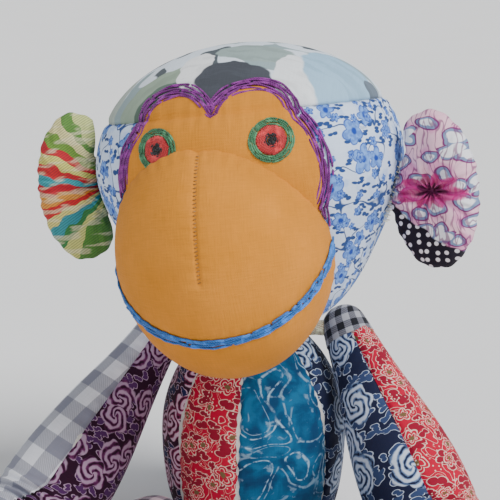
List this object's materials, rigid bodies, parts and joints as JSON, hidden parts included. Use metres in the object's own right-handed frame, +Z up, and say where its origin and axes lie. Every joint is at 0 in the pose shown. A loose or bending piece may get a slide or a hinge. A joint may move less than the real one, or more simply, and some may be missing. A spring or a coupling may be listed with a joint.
{
  "type": "stuffed toy monkey",
  "caption": "Seated patchwork cotton toy monkey with a round head, big muzzle, embroidered face, sewn ears, hinged arms and legs and a curled tail.",
  "frame": {"origin": "centre of the flat seat, on the surface the toy sits on", "axes": "+Z up, the toy faces -Y, +X is the toy's own left"},
  "size_m": [0.3357, 0.4088, 0.2981],
  "materials": {
    "red_paisley": "printed cotton, red with cream and grey leaf scrolls",
    "teal_batik": "printed cotton, teal with pale scribbled motifs",
    "navy_floral": "printed cotton, navy with pale grey roses",
    "maroon_floral": "printed cotton, dark plum with small flowers",
    "plum_floral": "printed cotton, plum and lilac roses",
    "gingham": "woven cotton, grey and white gingham",
    "grey_pink_check": "woven cotton, grey and pink check",
    "ochre_cotton": "plain woven cotton, ochre",
    "stuffing": "loose white polyester fibre",
    "crown_print": "printed cotton, grey, pale blue and white leaf shapes",
    "blue_floral": "printed cotton, white with blue flowers and vines",
    "purple_thread": "stranded cotton thread",
    "green_thread": "stranded cotton thread",
    "red_thread": "stranded cotton thread",
    "black_thread": "stranded cotton thread",
    "blue_thread": "stranded cotton thread",
    "tan_thread": "sewing thread",
    "butterfly_print": "printed cotton, pink, grey-blue and black wing pattern",
    "cream_thread": "sewing thread",
    "black_grey_check": "woven cotton, black and grey check",
    "striped_twill": "woven twill, green, red, cyan and cream bands"
  },
  "bodies": {
    "torso": {"torso_front_red": "red_paisley", "torso_front_teal": "teal_batik", "torso_side_navy": "navy_floral", "torso_side_maroon": "maroon_floral", "torso_back_left": "plum_floral", "torso_back_right": "gingham", "torso_seat": "grey_pink_check", "torso_top": "ochre_cotton", "torso_stuffing": "stuffing"},
    "neck": {"neck_plug": "ochre_cotton"},
    "head": {"head_crown": "crown_print", "head_side_left": "blue_floral", "head_side_right": "blue_floral", "face_panel": "ochre_cotton", "muzzle_panel": "ochre_cotton", "head_stuffing": "stuffing", "muzzle_stuffing": "stuffing", "face_outline_thread": "purple_thread", "eye_green_thread": "green_thread", "eye_red_thread": "red_thread", "eye_black_thread": "black_thread", "smile_thread": "blue_thread", "muzzle_dart_thread": "tan_thread"},
    "left_ear": {"left_ear_front": "butterfly_print", "left_ear_back": "butterfly_print", "left_ear_stuffing": "stuffing"},
    "left_shoulder": {"left_shoulder_stitching": "cream_thread"},
    "left_upper_arm": {"left_shoulder_patch": "black_grey_check", "left_upper_arm_outer": "red_paisley", "left_upper_arm_inner": "navy_floral", "left_upper_arm_stuffing": "stuffing"},
    "left_forearm": {"left_forearm_outer": "red_paisley", "left_forearm_inner": "navy_floral", "left_hand": "ochre_cotton", "left_forearm_stuffing": "stuffing"},
    "left_thigh": {"left_thigh_top": "teal_batik", "left_thigh_bottom": "maroon_floral", "left_thigh_stuffing": "stuffing"},
    "left_shin": {"left_shin": "blue_floral", "left_foot": "ochre_cotton", "left_shin_stuffing": "stuffing"},
    "right_ear": {"right_ear_front": "striped_twill", "right_ear_back": "striped_twill", "right_ear_stuffing": "stuffing"},
    "right_shoulder": {"right_shoulder_stitching": "cream_thread"},
    "right_upper_arm": {"right_upper_arm_outer": "gingham", "right_upper_arm_inner": "plum_floral", "right_upper_arm_stuffing": "stuffing"},
    "right_forearm": {"right_forearm_outer": "gingham", "right_forearm_inner": "plum_floral", "right_hand": "ochre_cotton", "right_forearm_stuffing": "stuffing"},
    "right_thigh": {"right_thigh_top": "grey_pink_check", "right_thigh_bottom": "navy_floral", "right_thigh_stuffing": "stuffing"},
    "right_shin": {"right_shin": "red_paisley", "right_foot": "ochre_cotton", "right_shin_stuffing": "stuffing"},
    "tail": {"tail_sleeve": "teal_batik", "tail_stuffing": "stuffing"}
  },
  "joints": [
    {"name": "neck_turn", "type": "hinge", "parent": "torso", "child": "neck", "pos_m": [0, -0.004, 0.14], "axis": [0, 0, 1], "range_deg": [-30, 30], "stiffness_Nm_per_rad": 1.2},
    {"name": "head_nod", "type": "hinge", "parent": "neck", "child": "head", "pos_m": [0, -0.004, 0.14], "axis": [0.9735, -0.1939, 0.1212], "range_deg": [-12, 9], "stiffness_Nm_per_rad": 1.5, "springref_deg": -1.72},
    {"name": "left_ear_fold", "type": "hinge", "parent": "head", "child": "left_ear", "pos_m": [0.07538, -0.06049, 0.22362], "axis": [-0.2099, 0.0105, -0.9777], "range_deg": [-15, 15], "stiffness_Nm_per_rad": 0.03},
    {"name": "left_shoulder_swing", "type": "hinge", "parent": "torso", "child": "left_shoulder", "pos_m": [0.0545, 0, 0.12701], "axis": [-1, 0, 0], "range_deg": [-6, 40]},
    {"name": "left_arm_lift", "type": "hinge", "parent": "left_shoulder", "child": "left_upper_arm", "pos_m": [0.0545, 0, 0.12701], "axis": [0, -1, 0], "range_deg": [0, 45]},
    {"name": "left_elbow_bend", "type": "hinge", "parent": "left_upper_arm", "child": "left_forearm", "pos_m": [0.09965, -0.07974, 0.032], "axis": [-0.9396, -0.2066, -0.2731], "range_deg": [-40, 10]},
    {"name": "left_hip_swing", "type": "hinge", "parent": "torso", "child": "left_thigh", "pos_m": [0.02984, -0.04108, 0.009], "axis": [-0.9945, -0.1045, 0], "range_deg": [-90, 5]},
    {"name": "left_knee_bend", "type": "hinge", "parent": "left_thigh", "child": "left_shin", "pos_m": [0.04092, -0.14649, 0.025], "axis": [0.9945, 0.1045, 0], "range_deg": [0, 40]},
    {"name": "right_ear_fold", "type": "hinge", "parent": "head", "child": "right_ear", "pos_m": [-0.08807, -0.02406, 0.21894], "axis": [-0.2115, 0.1285, 0.9689], "range_deg": [-15, 15], "stiffness_Nm_per_rad": 0.03},
    {"name": "right_shoulder_swing", "type": "hinge", "parent": "torso", "child": "right_shoulder", "pos_m": [-0.0545, 0, 0.12701], "axis": [-1, 0, 0], "range_deg": [-45, 60]},
    {"name": "right_arm_lift", "type": "hinge", "parent": "right_shoulder", "child": "right_upper_arm", "pos_m": [-0.0545, 0, 0.12701], "axis": [0, 1, 0], "range_deg": [0, 45]},
    {"name": "right_elbow_bend", "type": "hinge", "parent": "right_upper_arm", "child": "right_forearm", "pos_m": [-0.12445, -0.05919, 0.032], "axis": [-0.8383, 0.4051, 0.3648], "range_deg": [-40, 10]},
    {"name": "right_hip_swing", "type": "hinge", "parent": "torso", "child": "right_thigh", "pos_m": [-0.04587, -0.02439, 0.009], "axis": [-0.9397, 0.342, 0], "range_deg": [-90, 5]},
    {"name": "right_knee_bend", "type": "hinge", "parent": "right_thigh", "child": "right_shin", "pos_m": [-0.08213, -0.124, 0.025], "axis": [0.9397, -0.342, 0], "range_deg": [0, 40]},
    {"name": "tail_swing", "type": "hinge", "parent": "torso", "child": "tail", "pos_m": [0, 0.05916, 0.011], "axis": [0, 0, 1], "range_deg": [-30, 30]}
  ]
}
